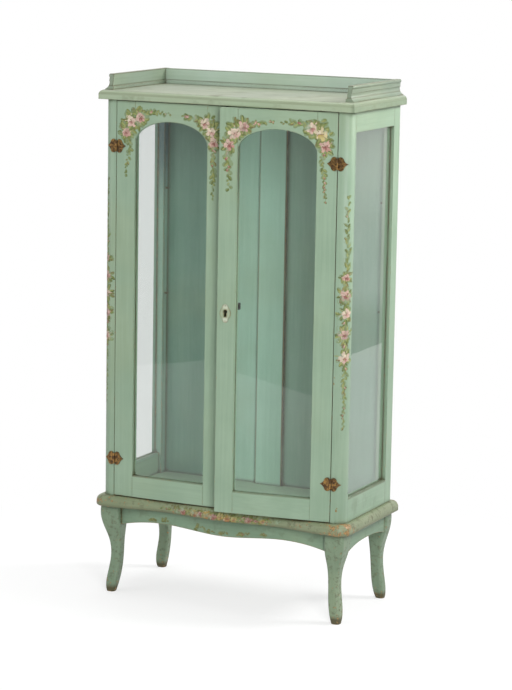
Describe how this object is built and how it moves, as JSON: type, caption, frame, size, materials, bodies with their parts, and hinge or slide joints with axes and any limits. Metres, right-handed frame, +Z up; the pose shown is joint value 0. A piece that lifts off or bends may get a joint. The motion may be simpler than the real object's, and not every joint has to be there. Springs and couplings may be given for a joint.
{
  "type": "display cabinet",
  "caption": "Tall narrow glazed cabinet with arched double doors, glass sides, a moulded top with a low gallery, and a stand with a serpentine base and curved legs.",
  "frame": {"origin": "on the floor, under the middle of the cabinet's box in width and depth", "axes": "+Z up, -Y towards the front with the doors, +X to the right seen from the front"},
  "size_m": [0.618, 0.307, 1.159],
  "materials": {
    "green_paint": "old sage green paint on wood, worn at the edges",
    "inside_paint": "darker matt green paint inside the case",
    "clear_glass": "clear pane",
    "aged_brass": "dark aged brass",
    "painted_metal": "key plate painted over",
    "dark_iron": "dark iron",
    "bare_wood": "bare wood"
  },
  "bodies": {
    "case": {"leg_front_right": "green_paint", "leg_front_left": "green_paint", "leg_rear_right": "green_paint", "leg_rear_left": "green_paint", "apron_front": "green_paint", "apron_back": "green_paint", "apron_side_right": "green_paint", "apron_side_left": "green_paint", "base_board": "green_paint", "post_front_right": "green_paint", "post_front_left": "green_paint", "post_rear_right": "green_paint", "post_rear_left": "green_paint", "side_rail_bottom_right": "green_paint", "side_rail_bottom_left": "green_paint", "side_rail_top_right": "green_paint", "side_rail_top_left": "green_paint", "side_glass_right": "clear_glass", "side_glass_left": "clear_glass", "side_beads_right": "green_paint", "side_beads_left": "green_paint", "back_panel_right": "inside_paint", "back_panel_left": "inside_paint", "back_muntin": "inside_paint", "back_top_rail": "inside_paint", "floor_board": "inside_paint", "top_stop_rail": "green_paint", "shelf_pegs": "bare_wood", "cornice_board": "green_paint", "gallery_side_right": "green_paint", "gallery_side_left": "green_paint", "gallery_back": "green_paint", "hinge_post_leaves_right": "aged_brass", "hinge_pins_right": "aged_brass", "hinge_post_leaves_left": "aged_brass", "hinge_pins_left": "aged_brass"},
    "left_door": {"door_meeting_stile_left": "green_paint", "door_hinge_stile_left": "green_paint", "door_bottom_rail_left": "green_paint", "door_arch_rail_left": "green_paint", "door_glass_left": "clear_glass", "door_beads_left": "green_paint", "hinge_door_leaves_left": "aged_brass", "lock_keep": "dark_iron", "edge_bolt_plates": "dark_iron"},
    "right_door": {"door_meeting_stile_right": "green_paint", "door_hinge_stile_right": "green_paint", "door_bottom_rail_right": "green_paint", "door_arch_rail_right": "green_paint", "door_glass_right": "clear_glass", "door_beads_right": "green_paint", "hinge_door_leaves_right": "aged_brass", "escutcheon": "painted_metal", "lock_case": "dark_iron"},
    "lock_bolt": {"lock_bolt": "dark_iron"},
    "top_bolt": {"edge_bolt_top": "dark_iron"},
    "bottom_bolt": {"edge_bolt_bottom": "dark_iron"}
  },
  "joints": [
    {"name": "right_door_hinge", "type": "hinge", "parent": "case", "child": "right_door", "pos_m": [0.2635, -0.12187, 0.6645], "axis": [0, 0, 1], "range_deg": [-7.5, 162.5]},
    {"name": "left_door_hinge", "type": "hinge", "parent": "case", "child": "left_door", "pos_m": [-0.2635, -0.12187, 0.6645], "axis": [0, 0, -1], "range_deg": [0, 170]},
    {"name": "lock_bolt_slide", "type": "slide", "parent": "right_door", "child": "lock_bolt", "axis": [-0.9914, -0.1305, 0], "range_m": [0, 0.014]},
    {"name": "top_bolt_slide", "type": "slide", "parent": "left_door", "child": "top_bolt", "axis": [0, 0, 1], "range_m": [0, 0.009]},
    {"name": "bottom_bolt_slide", "type": "slide", "parent": "left_door", "child": "bottom_bolt", "axis": [0, 0, -1], "range_m": [0, 0.009]}
  ]
}
